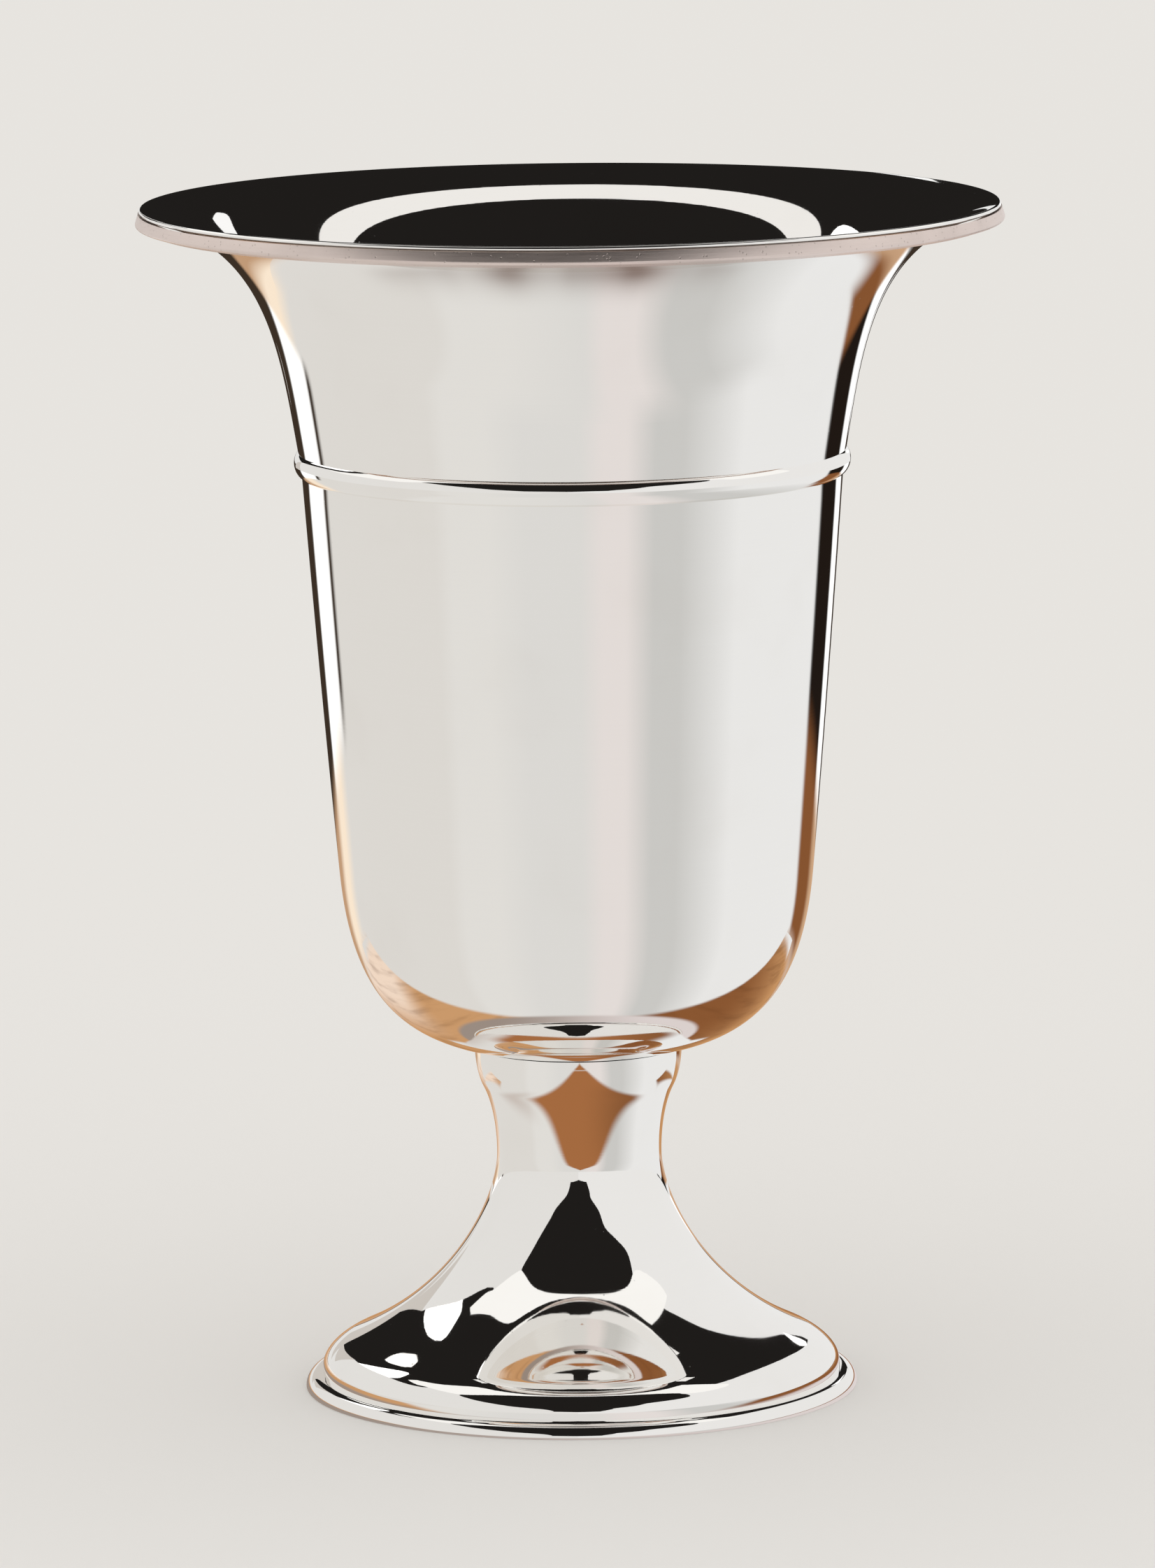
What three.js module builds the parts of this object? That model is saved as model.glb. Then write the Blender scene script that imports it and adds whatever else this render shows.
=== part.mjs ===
// Footed trophy cup: a spun bowl with a flared mouth, carried on a hollow bell-shaped foot.
// Sizes are in millimetres, +Z is up, and the origin is on the table at the centre of the foot.
import * as THREE from "three";

// Facets round the cup, the same on every piece so that nested rings fit each other.
const facets = 48;
// Gap left where two pieces are soldered together.
const jointGap = 0.3;

// Foot wire: a flat ring with a rounded top edge, which the cup stands on.
const footRadius = 58.5;
const wireHeight = 3.2;
const wireLedge = 3.6; // how far the wire stands out past the foot's skirt
const wireRound = 2.9; // radius of the rounded top edge
const wireEase = 0.3; // small slope where the wire meets the table

// Foot and stem: one sheet, from the skirt over the shoulder and the bell to the collar.
const pedestalWall = 1.0;
const skirtHeight = 1.3;
const shoulderHeight = 6.3;
const shoulderWidth = 5.9;
const bellHeight = 39.3;
const waistRadius = 17.4;
const neckHeight = 14.4;
const neckFlare = 2.8;
const collarHeight = 8.4;
const collarFlare = 1.7;
const footSlope = THREE.MathUtils.degToRad(24); // fall of the foot where the bell meets the shoulder
const neckSlope = THREE.MathUtils.degToRad(28); // lean of the neck, off upright, below the collar

// Bowl: a rounded bottom, a nearly straight wall, the bead's seat and the flare.
const bowlWall = 1.0;
const bottomHeight = 38.9;
const bottomRadius = 50.0;
const wallHeight = 84.1;
const wallSpread = 6.8; // how much wider the wall is at the bead than at the bottom
const wallBulge = 0.1; // share by which the wall's slope is steeper below and flatter above
const seatSpread = 0.75; // how much wider the wall is above the bead than below it
const flareHeight = 50.85;
const flareLean = THREE.MathUtils.degToRad(9.5); // lean of the wall, off upright, above the bead
const lipSlope = THREE.MathUtils.degToRad(17); // rise of the lip at its edge
const lipRound = 0.35; // rounding of the lip's top edge

// Bead: a half-round wire round the wall.
const beadHeight = 5.2;
const beadProud = 1.25;

// Rim band: a flat wire under the edge of the lip.
const rimRadius = 91.0;
const bandHeight = 2.6;
const bandWidth = 3.0;
const bandRound = 0.6;

// Fullness of each curve: the length of its handles as a share of the curve's height.
const shoulderFullness = 0.44;
const bellTopFullness = 0.21;
const bellFootFullness = 0.67;
const neckFullness = 0.42;
const neckTopFullness = 0.24;
const collarFullness = 0.3;
const bottomFullness = 0.72;
const cornerFullness = 0.94;
const flareStartFullness = 0.44;
const flareLipFullness = 0.48;

// Steps along each curved stretch.
const shoulderSteps = 3;
const bellSteps = 7;
const neckSteps = 4;
const collarSteps = 3;
const bottomSteps = 8;
const wallSteps = 2;
const flareSteps = 8;
const beadSteps = 6;
const wireSteps = 4;
const bandSteps = 2;

const point = (radius, height) => new THREE.Vector2(radius, height);

// A point at a distance from another, in a direction given by its angle above the horizontal.
function away(from, angle, distance) {
  return point(from.x + distance * Math.cos(angle), from.y + distance * Math.sin(angle));
}

// Points along a smooth curve that leaves start towards one handle and reaches end from the other.
function curve(start, startHandle, endHandle, end, steps) {
  return new THREE.CubicBezierCurve(start, startHandle, endHandle, end).getPoints(steps);
}

// Points along a circular arc about a centre, between two angles.
function arc(centre, radius, fromAngle, toAngle, steps) {
  const points = [];
  for (let step = 0; step <= steps; step += 1) {
    points.push(away(centre, THREE.MathUtils.lerp(fromAngle, toAngle, step / steps), radius));
  }
  return points;
}

// Points along an arc from start to end that stands a given height to the right of its chord.
function bulge(start, end, rise, steps) {
  const chord = end.clone().sub(start);
  const halfChord = chord.length() / 2;
  const radius = (halfChord ** 2 + rise ** 2) / (2 * rise);
  const halfAngle = Math.asin(halfChord / radius);
  const outward = chord.angle() - Math.PI / 2;
  const middle = start.clone().add(end).divideScalar(2);
  const centre = away(middle, outward, rise - radius);
  return arc(centre, radius, outward - halfAngle, outward + halfAngle, steps);
}

// Joins stretches of outline, leaving out a point that repeats the one before it.
function join(...stretches) {
  const points = [];
  for (const next of stretches.flat()) {
    const last = points.at(-1);
    if (!last || last.distanceTo(next) > 1e-6) {
      points.push(next);
    }
  }
  return points;
}

// The path moved sideways to its left by a wall's thickness.
function inside(path, wall) {
  return path.map((here, index) => {
    const before = path[Math.max(index - 1, 0)];
    const after = path[Math.min(index + 1, path.length - 1)];
    const arriving = (index > 0 ? here.clone().sub(before) : after.clone().sub(here)).angle();
    const leaving = (index < path.length - 1 ? after.clone().sub(here) : here.clone().sub(before)).angle();
    const turn = Math.atan2(Math.sin(leaving - arriving), Math.cos(leaving - arriving));
    return away(here, arriving + turn / 2 + Math.PI / 2, wall / Math.cos(turn / 2));
  });
}

// Height of a path where it crosses a radius, counted from its first point outwards.
function heightAt(path, radius) {
  const index = path.findIndex((next) => next.x >= radius);
  const low = path[index - 1];
  const high = path[index];
  return THREE.MathUtils.mapLinear(radius, low.x, high.x, low.y, high.y);
}

// Polished silver plate, a little warm.
function polishedSilver() {
  return new THREE.MeshStandardMaterial({ color: 0xdedbd6, roughness: 0.06, metalness: 1 });
}

// The satin face of the rim band, where the plate was left unpolished.
function satinSilver() {
  return new THREE.MeshStandardMaterial({ color: 0xcdc1ba, roughness: 0.38, metalness: 1 });
}

// Turns an outline in radius and height about the cup's axis into a named piece.
function turned(name, outline, material) {
  const geometry = new THREE.LatheGeometry(outline, facets);
  geometry.rotateX(Math.PI / 2);
  const mesh = new THREE.Mesh(geometry, material);
  mesh.name = name;
  return mesh;
}

// The same for a ring, whose outline closes on its first point.
function turnedRing(name, outline, material) {
  return turned(name, [...outline, outline[0].clone()], material);
}

// Heights of the levels where one stretch of the cup ends and the next begins.
const skirtRadius = footRadius - wireLedge;
const collarRadius = waistRadius + neckFlare + collarFlare;
const skirtBase = wireHeight + jointGap;
const shoulderBase = wireHeight + skirtHeight;
const bellBase = shoulderBase + shoulderHeight;
const waistLevel = bellBase + bellHeight;
const neckTop = waistLevel + neckHeight;
const pedestalTop = neckTop + collarHeight;

// The outside of the foot and stem, from the skirt's lower edge up to the collar.
function pedestalOutside() {
  const skirtFoot = point(skirtRadius, skirtBase);
  const skirtEdge = point(skirtRadius, shoulderBase);
  const bellFoot = point(skirtRadius - shoulderWidth, bellBase);
  const waist = point(waistRadius, waistLevel);
  const neckEnd = point(waistRadius + neckFlare, neckTop);
  const collarEdge = point(collarRadius, pedestalTop);
  const outOfShoulder = shoulderHeight * shoulderFullness;
  const shoulder = curve(
    skirtEdge,
    away(skirtEdge, Math.PI / 2, outOfShoulder),
    away(bellFoot, -footSlope, outOfShoulder),
    bellFoot,
    shoulderSteps,
  );
  const bell = curve(
    bellFoot,
    away(bellFoot, Math.PI - footSlope, bellHeight * bellFootFullness),
    away(waist, -Math.PI / 2, bellHeight * bellTopFullness),
    waist,
    bellSteps,
  );
  const upNeck = Math.PI / 2 - neckSlope;
  const neck = curve(
    waist,
    away(waist, Math.PI / 2, neckHeight * neckFullness),
    away(neckEnd, upNeck, -neckHeight * neckTopFullness),
    neckEnd,
    neckSteps,
  );
  const collar = curve(
    neckEnd,
    away(neckEnd, upNeck, collarHeight * collarFullness),
    away(collarEdge, -Math.PI / 2, collarHeight * collarFullness),
    collarEdge,
    collarSteps,
  );
  return join([skirtFoot], shoulder, bell, neck, collar);
}

// The rounded bottom of the bowl, with its lowest point at a given height.
function bowlBottom(base) {
  const wallTaper = wallSpread / wallHeight;
  const upWall = Math.PI / 2 - Math.atan(wallTaper * (1 + wallBulge));
  const lowest = point(0, base);
  const wallFoot = point(bottomRadius, base + bottomHeight);
  return curve(
    lowest,
    away(lowest, 0, bottomHeight * bottomFullness),
    away(wallFoot, upWall, -bottomHeight * cornerFullness),
    wallFoot,
    bottomSteps,
  );
}

// The bowl's bottom rests on the collar, whose edge it meets at the joint gap.
const bowlBase = pedestalTop + jointGap - heightAt(bowlBottom(0), collarRadius);
const wallBase = bowlBase + bottomHeight;
const beadBase = wallBase + wallHeight;
const beadTop = beadBase + beadHeight;
const wallTopRadius = bottomRadius + wallSpread;

// The seat of the bead on the bowl's wall, from its lower to its upper edge.
const beadSeat = [point(wallTopRadius, beadBase), point(wallTopRadius + seatSpread, beadTop)];

// The bowl's wall between its bottom and the bead.
function bowlSide() {
  const wallTaper = wallSpread / wallHeight;
  const third = wallHeight / 3;
  const foot = point(bottomRadius, wallBase);
  const top = beadSeat[0];
  return curve(
    foot,
    point(foot.x + third * wallTaper * (1 + wallBulge), foot.y + third),
    point(top.x - third * wallTaper * (1 - wallBulge), top.y - third),
    top,
    wallSteps,
  );
}

// The rim band's lower outside corner is rounded, and the round's side is the cup's widest point.
const bandCorner = Math.min(bandRound, bandHeight / 2, bandWidth / 2);
const lipRadius =
  rimRadius +
  bandCorner * (Math.cos(lipSlope) + Math.sin(lipSlope) - 1) -
  (jointGap + bandHeight) * Math.sin(lipSlope);
const lipEdge = point(lipRadius, beadTop + flareHeight);

// The flare from the bead to the lip, which is straight where the rim band lies under it.
function bowlFlare() {
  const start = beadSeat[1];
  const end = away(lipEdge, lipSlope, -(bandWidth + jointGap));
  const flare = curve(
    start,
    away(start, Math.PI / 2 - flareLean, flareHeight * flareStartFullness),
    away(end, lipSlope, -flareHeight * flareLipFullness),
    end,
    flareSteps,
  );
  return [...flare, lipEdge];
}

// Spun bowl: hollow and open at the mouth, with a wall of one thickness.
function bowl() {
  const outside = join(bowlBottom(bowlBase), bowlSide(), bowlFlare());
  const lining = inside(outside, bowlWall);
  lining[0].x = 0;
  const round = Math.min(lipRound, bowlWall / 2);
  const lipTop = lining.pop();
  const lip = [away(lipTop, lipSlope - Math.PI / 2, round), away(lipTop, lipSlope, -round)];
  return turned("bowl", join(outside, lip, lining.reverse()), polishedSilver());
}

// Half-round wire soldered on its seat round the wall.
function bead() {
  const offWall = beadSeat[1].clone().sub(beadSeat[0]).angle() - Math.PI / 2;
  const back = beadSeat.map((edge) => away(edge, offWall, jointGap));
  const front = bulge(back[0], back[1], beadProud - jointGap, beadSteps);
  return turnedRing("bead", front, polishedSilver());
}

// Flat wire under the lip, square to it, with its lower outside edge rounded.
function rimBand() {
  const down = lipSlope - Math.PI / 2;
  const topOuter = away(lipEdge, down, jointGap);
  const topInner = away(topOuter, lipSlope, -bandWidth);
  const bottomInner = away(topInner, down, bandHeight);
  const bottomOuter = away(topOuter, down, bandHeight);
  const roundCentre = away(away(bottomOuter, lipSlope, -bandCorner), down, -bandCorner);
  const corner = arc(roundCentre, bandCorner, down, lipSlope, bandSteps);
  return turnedRing("rim_band", [topInner, bottomInner, ...corner, topOuter], satinSilver());
}

// Spun foot and stem: one hollow sheet, open below and at the collar, with the bowl on top.
function pedestal() {
  const outside = pedestalOutside();
  const lining = inside(outside, pedestalWall);
  const bore = collarRadius - pedestalWall;
  const collarTop = point(bore, heightAt(bowlBottom(bowlBase), bore) - jointGap);
  lining[lining.length - 1] = collarTop;
  return turnedRing("pedestal", join(outside, lining.reverse()), polishedSilver());
}

// Ring under the skirt: flat below, level with the sheet inside, rounded over outside.
function footWire() {
  const round = Math.min(wireRound, wireLedge, wireHeight - wireEase);
  const bore = skirtRadius - pedestalWall;
  const roundCentre = point(footRadius - round, wireHeight - round);
  const outline = [
    point(bore, 0),
    point(footRadius - wireEase, 0),
    ...arc(roundCentre, round, 0, Math.PI / 2, wireSteps),
    point(bore, wireHeight),
  ];
  return turnedRing("foot_wire", outline, polishedSilver());
}

const cup = new THREE.Group();
cup.add(footWire(), pedestal(), bowl(), bead(), rimBand());

export default cup;
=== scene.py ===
"""Footed trophy cup in polished silver plate: a spun bowl with a flared mouth on a bell-shaped foot.

Sizes are in metres, +Z is up and the origin is on the floor at the centre of the foot.
"""

import logging
import math
from collections.abc import Callable
from dataclasses import dataclass, field
from enum import Enum
from typing import ClassVar

import bmesh
import bpy
from mathutils import Matrix, Vector
from mathutils.geometry import interpolate_bezier


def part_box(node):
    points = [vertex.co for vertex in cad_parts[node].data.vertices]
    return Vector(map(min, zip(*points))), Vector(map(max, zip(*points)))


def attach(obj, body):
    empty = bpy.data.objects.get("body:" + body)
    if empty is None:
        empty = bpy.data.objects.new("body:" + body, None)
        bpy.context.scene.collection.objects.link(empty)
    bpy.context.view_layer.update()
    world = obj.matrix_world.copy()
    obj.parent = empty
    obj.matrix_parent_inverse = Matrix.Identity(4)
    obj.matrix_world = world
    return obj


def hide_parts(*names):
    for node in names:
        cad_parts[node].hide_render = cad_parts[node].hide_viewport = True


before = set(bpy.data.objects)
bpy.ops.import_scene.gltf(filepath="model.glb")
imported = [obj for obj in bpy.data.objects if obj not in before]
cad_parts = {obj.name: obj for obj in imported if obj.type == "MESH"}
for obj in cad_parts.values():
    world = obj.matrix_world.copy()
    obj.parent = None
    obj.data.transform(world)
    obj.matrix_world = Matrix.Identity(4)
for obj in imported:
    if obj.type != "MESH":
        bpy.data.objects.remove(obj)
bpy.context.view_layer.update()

log = logging.getLogger("trophy_cup")

# Spin steps round the cup. A multiple of the frame's own facets, so that both have the same box.
TURN_STEPS = 240
# Two points closer than this are one.
SAME_POINT = 1e-6
# Edges sharper than this keep their crease when the faces are smoothed.
CREASE_ANGLE = math.radians(24)
QUARTER_TURN = math.pi / 2

Colour = tuple[float, float, float]
Triple = tuple[float, float, float]
Span = tuple[float, float]
Stops = tuple[tuple[float, Colour], ...]

LEFT_PALE = (0.80, 0.79, 0.775)
LEFT_DIM = (0.62, 0.58, 0.54)
RIGHT_PALE = (0.86, 0.855, 0.85)
WHITE = (1.0, 1.0, 1.0)


def at(radius: float, height: float) -> Vector:
    """Returns a point of a half-section, in radius and height."""
    return Vector((radius, 0.0, height))


def away(start: Vector, angle: float, distance: float) -> Vector:
    """Steps from a point of a half-section.

    Args:
        start: the point to leave.
        angle: the direction, above the horizontal, in radians.
        distance: how far to go.

    Returns:
        The point reached.
    """
    return start + distance * at(math.cos(angle), math.sin(angle))


@dataclass
class HalfSection:
    """Half of a turned piece's section, drawn from its start as lines and smooth curves."""

    points: list[Vector] = field(default_factory=list)

    def line(self, *corners: Vector) -> "HalfSection":
        """Adds straight stretches.

        Args:
            corners: the points to run through.

        Returns:
            This section.
        """
        for corner in corners:
            if not self.points or (self.points[-1] - corner).length > SAME_POINT:
                self.points.append(corner)
        return self

    def curve(self, leave: Vector, arrive: Vector, end: Vector, steps: int) -> "HalfSection":
        """Adds a smooth curve from the last point.

        Args:
            leave: the handle that the curve starts towards.
            arrive: the handle that it comes in from.
            end: where it ends.
            steps: short straight lines that it is drawn with.

        Returns:
            This section.
        """
        return self.line(*interpolate_bezier(self.points[-1], leave, arrive, end, steps + 1))


@dataclass
class TurnedPiece:
    """A mesh spun about the cup's axis, with the steps that shape it after the spin."""

    section: HalfSection
    closed: bool = False
    mesh: bmesh.types.BMesh = field(default_factory=bmesh.new)

    def spin(self) -> "TurnedPiece":
        """Spins the section once round the axis and turns its faces outwards.

        Returns:
            This piece.
        """
        corners = [self.mesh.verts.new(point) for point in self.section.points]
        edges = [self.mesh.edges.new(pair) for pair in zip(corners, corners[1:])]
        if self.closed:
            edges.append(self.mesh.edges.new((corners[-1], corners[0])))
        bmesh.ops.spin(
            self.mesh,
            geom=corners + edges,
            cent=(0.0, 0.0, 0.0),
            axis=(0.0, 0.0, 1.0),
            angle=math.tau,
            steps=TURN_STEPS,
            use_merge=True,
        )
        bmesh.ops.remove_doubles(self.mesh, verts=self.mesh.verts, dist=SAME_POINT)
        bmesh.ops.recalc_face_normals(self.mesh, faces=self.mesh.faces)
        return self

    def face_outwards(self) -> "TurnedPiece":
        """Turns an open sheet's faces away from the axis, judged at its widest face.

        Returns:
            This piece.
        """
        widest = max(self.mesh.faces, key=lambda face: face.calc_center_median().xy.length)
        widest.normal_update()
        if widest.normal.xy.dot(widest.calc_center_median().xy) < 0:
            bmesh.ops.reverse_faces(self.mesh, faces=self.mesh.faces)
        return self

    def thicken(self, wall: float) -> "TurnedPiece":
        """Gives an open sheet a wall on its inner side.

        Args:
            wall: the wall's thickness.

        Returns:
            This piece.
        """
        bmesh.ops.solidify(self.mesh, geom=self.mesh.faces[:], thickness=wall)
        return self

    def round_edges(self, where: Callable[[Vector], bool], radius: float, steps: int) -> "TurnedPiece":
        """Rounds the sharp rings that a test picks.

        Args:
            where: tells from an edge's middle whether it is rounded.
            radius: the rounding's size.
            steps: segments across it.

        Returns:
            This piece.
        """
        rings = [
            edge
            for edge in self.mesh.edges
            if len(edge.link_faces) == 2
            and edge.calc_face_angle() > CREASE_ANGLE
            and where((edge.verts[0].co + edge.verts[1].co) / 2)
        ]
        bmesh.ops.bevel(
            self.mesh,
            geom=rings,
            offset=radius,
            offset_type="OFFSET",
            segments=steps,
            profile=0.5,
            affect="EDGES",
            clamp_overlap=True,
            material=-1,
        )
        return self

    def finished(self, name: str) -> bpy.types.Object:
        """Makes the object, smooth but for its creases.

        Args:
            name: the object's name.

        Returns:
            The object, linked to the scene.
        """
        data = bpy.data.meshes.new(name)
        self.mesh.to_mesh(data)
        self.mesh.free()
        data.set_sharp_from_angle(angle=CREASE_ANGLE)
        piece = bpy.data.objects.new(name, data)
        bpy.context.scene.collection.objects.link(piece)
        return piece


@dataclass(frozen=True)
class CupLevels:
    """Sizes that more than one piece takes, from the floor up."""

    foot_radius: float = 0.0585
    wire_height: float = 0.0032
    wire_ledge: float = 0.0036
    skirt_height: float = 0.0013
    shoulder_height: float = 0.0063
    bell_height: float = 0.0393
    waist_radius: float = 0.0174
    neck_height: float = 0.0144
    neck_flare: float = 0.0028
    collar_height: float = 0.0084
    collar_flare: float = 0.0017
    bottom_height: float = 0.0389
    bottom_radius: float = 0.0500
    bottom_fullness: float = 0.72
    corner_fullness: float = 0.94
    wall_height: float = 0.0841
    wall_spread: float = 0.0068
    wall_bulge: float = 0.1
    bead_height: float = 0.0052
    seat_spread: float = 0.00075
    flare_height: float = 0.05085
    lip_slope: float = math.radians(17)
    band_height: float = 0.0026
    band_width: float = 0.0030
    band_round: float = 0.0006
    seam: float = 0.0003
    seat_steps: int = 8

    @property
    def skirt_radius(self) -> float:
        """Outside radius of the foot's skirt, on the wire."""
        return self.foot_radius - self.wire_ledge

    @property
    def bell_base(self) -> float:
        """Height where the shoulder ends and the bell begins."""
        return self.wire_height + self.skirt_height + self.shoulder_height

    @property
    def waist_level(self) -> float:
        """Height of the stem's narrowest ring."""
        return self.bell_base + self.bell_height

    @property
    def collar_radius(self) -> float:
        """Outside radius of the stem's top edge."""
        return self.waist_radius + self.neck_flare + self.collar_flare

    @property
    def pedestal_top(self) -> float:
        """Height of the stem's top edge."""
        return self.waist_level + self.neck_height + self.collar_height

    @property
    def wall_taper(self) -> float:
        """How much the bowl's wall widens for each unit of height."""
        return self.wall_spread / self.wall_height

    def bottom_curve(self, base: float, steps: int) -> HalfSection:
        """Draws the rounded bottom of the bowl.

        Args:
            base: height of its lowest point.
            steps: short straight lines that it is drawn with.

        Returns:
            The section, from the axis out to the foot of the wall.
        """
        up_wall = QUARTER_TURN - math.atan(self.wall_taper * (1 + self.wall_bulge))
        lowest = at(0.0, base)
        wall_foot = at(self.bottom_radius, base + self.bottom_height)
        return HalfSection([lowest]).curve(
            away(lowest, 0.0, self.bottom_height * self.bottom_fullness),
            away(wall_foot, up_wall, -self.bottom_height * self.corner_fullness),
            wall_foot,
            steps,
        )

    @property
    def bowl_base(self) -> float:
        """Height of the bowl's lowest point, where its bottom rests on the collar."""
        drawn = self.bottom_curve(0.0, self.seat_steps).points
        low, high = next(pair for pair in zip(drawn, drawn[1:]) if pair[1].x >= self.collar_radius)
        share = (self.collar_radius - low.x) / (high.x - low.x)
        return self.pedestal_top + self.seam - low.lerp(high, share).z

    @property
    def wall_base(self) -> float:
        """Height where the bowl's bottom turns into its wall."""
        return self.bowl_base + self.bottom_height

    @property
    def bead_seat(self) -> tuple[Vector, Vector]:
        """Lower and upper edge of the bead on the bowl's wall."""
        base = self.wall_base + self.wall_height
        radius = self.bottom_radius + self.wall_spread
        return at(radius, base), at(radius + self.seat_spread, base + self.bead_height)

    @property
    def rim_radius(self) -> float:
        """The cup's greatest radius, at the outside of the rim band."""
        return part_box("rim_band")[1].x

    @property
    def lip_edge(self) -> Vector:
        """Outer edge of the flare, above the rim band."""
        reach = (self.seam + self.band_height) * math.sin(self.lip_slope)
        corner = self.band_round * (math.cos(self.lip_slope) + math.sin(self.lip_slope) - 1)
        return at(self.rim_radius + corner - reach, self.bead_seat[1].z + self.flare_height)


LEVELS = CupLevels()


@dataclass
class CupPiece:
    """A piece of the cup, the node that it stands in for, and the slot of its finish."""

    name: ClassVar[str]
    node: ClassVar[str]
    slot: ClassVar[str] = "polished_silver"
    levels: CupLevels = LEVELS

    def build(self) -> bpy.types.Object:
        """Returns the piece. Each kind of piece has its own way."""
        raise NotImplementedError

    def dress(self, piece: bpy.types.Object, finishes: dict[str, bpy.types.Material]) -> None:
        """Gives the piece its finish and its place in the frame.

        Args:
            piece: the piece as it was built.
            finishes: the finish of each slot.
        """
        piece.data.materials.append(finishes[self.slot])
        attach(piece, "root")
        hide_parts(self.node)


@dataclass
class FootWire(CupPiece):
    """Ring under the foot: flat below, rounded over outside, which the cup stands on."""

    name: ClassVar[str] = "foot_wire_turned"
    node: ClassVar[str] = "foot_wire"
    bore: float = 0.0539
    top_round: float = 0.0029
    top_steps: int = 12
    floor_ease: float = 0.0003
    ease_steps: int = 3

    def build(self) -> bpy.types.Object:
        """Returns the ring, turned from a rectangle whose outer edges are rounded."""
        outer, top = self.levels.foot_radius, self.levels.wire_height
        section = HalfSection([at(self.bore, 0.0), at(outer, 0.0), at(outer, top), at(self.bore, top)])
        ring = TurnedPiece(section, closed=True).spin()
        middle = (self.bore + outer) / 2
        ring.round_edges(
            lambda spot: spot.xy.length > middle and spot.z > top / 2,
            self.top_round,
            self.top_steps,
        )
        ring.round_edges(
            lambda spot: spot.xy.length > middle and spot.z < SAME_POINT,
            self.floor_ease,
            self.ease_steps,
        )
        return ring.finished(self.name)


@dataclass
class Pedestal(CupPiece):
    """Hollow foot and stem in one sheet: skirt, shoulder, bell, neck and collar."""

    name: ClassVar[str] = "pedestal_spun"
    node: ClassVar[str] = "pedestal"
    wall: float = 0.0010
    shoulder_width: float = 0.0059
    foot_slope: float = math.radians(24)
    neck_slope: float = math.radians(28)
    shoulder_fullness: float = 0.44
    bell_foot_fullness: float = 0.67
    bell_top_fullness: float = 0.21
    neck_fullness: float = 0.42
    neck_top_fullness: float = 0.24
    collar_fullness: float = 0.3
    shoulder_steps: int = 14
    bell_steps: int = 56
    neck_steps: int = 22
    collar_steps: int = 14

    def outline(self) -> HalfSection:
        """Returns the outside of the sheet, from the skirt's lower edge up to the collar."""
        size = self.levels
        skirt_edge = at(size.skirt_radius, size.wire_height + size.skirt_height)
        bell_foot = at(size.skirt_radius - self.shoulder_width, size.bell_base)
        waist = at(size.waist_radius, size.waist_level)
        neck_end = at(size.waist_radius + size.neck_flare, size.waist_level + size.neck_height)
        collar_edge = at(size.collar_radius, size.pedestal_top)
        up_neck = QUARTER_TURN - self.neck_slope
        out_of_shoulder = size.shoulder_height * self.shoulder_fullness
        path = HalfSection([at(size.skirt_radius, size.wire_height)]).line(skirt_edge)
        path.curve(
            away(skirt_edge, QUARTER_TURN, out_of_shoulder),
            away(bell_foot, -self.foot_slope, out_of_shoulder),
            bell_foot,
            self.shoulder_steps,
        )
        path.curve(
            away(bell_foot, math.pi - self.foot_slope, size.bell_height * self.bell_foot_fullness),
            away(waist, -QUARTER_TURN, size.bell_height * self.bell_top_fullness),
            waist,
            self.bell_steps,
        )
        path.curve(
            away(waist, QUARTER_TURN, size.neck_height * self.neck_fullness),
            away(neck_end, up_neck, -size.neck_height * self.neck_top_fullness),
            neck_end,
            self.neck_steps,
        )
        return path.curve(
            away(neck_end, up_neck, size.collar_height * self.collar_fullness),
            away(collar_edge, -QUARTER_TURN, size.collar_height * self.collar_fullness),
            collar_edge,
            self.collar_steps,
        )

    def build(self) -> bpy.types.Object:
        """Returns the foot and stem, spun from their outline and thickened inwards."""
        sheet = TurnedPiece(self.outline()).spin().face_outwards()
        return sheet.thicken(self.wall).finished(self.name)


@dataclass
class Bowl(CupPiece):
    """Hollow bowl: rounded bottom, nearly straight wall and flare, open at the mouth."""

    name: ClassVar[str] = "bowl_spun"
    node: ClassVar[str] = "bowl"
    wall: float = 0.0010
    flare_lean: float = math.radians(9.5)
    flare_start_fullness: float = 0.44
    flare_lip_fullness: float = 0.48
    lip_round: float = 0.00042
    bottom_steps: int = 44
    wall_steps: int = 24
    flare_steps: int = 60
    lip_steps: int = 4

    def outline(self) -> HalfSection:
        """Returns the outside of the bowl, from its lowest point out to the lip."""
        size = self.levels
        path = size.bottom_curve(size.bowl_base, self.bottom_steps)
        foot, top = path.points[-1], size.bead_seat[0]
        third = size.wall_height / 3
        path.curve(
            foot + at(third * size.wall_taper * (1 + size.wall_bulge), third),
            top - at(third * size.wall_taper * (1 - size.wall_bulge), third),
            top,
            self.wall_steps,
        )
        start = size.bead_seat[1]
        end = away(size.lip_edge, size.lip_slope, -(size.band_width + size.seam))
        path.line(start)
        path.curve(
            away(start, QUARTER_TURN - self.flare_lean, size.flare_height * self.flare_start_fullness),
            away(end, size.lip_slope, -size.flare_height * self.flare_lip_fullness),
            end,
            self.flare_steps,
        )
        return path.line(size.lip_edge)

    def build(self) -> bpy.types.Object:
        """Returns the bowl, spun from its outline, thickened inwards and rounded at the lip."""
        sheet = TurnedPiece(self.outline()).spin().face_outwards().thicken(self.wall)
        lip = self.levels.lip_edge.z - self.wall
        sheet.round_edges(lambda spot: spot.z > lip, self.lip_round, self.lip_steps)
        return sheet.finished(self.name)


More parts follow.
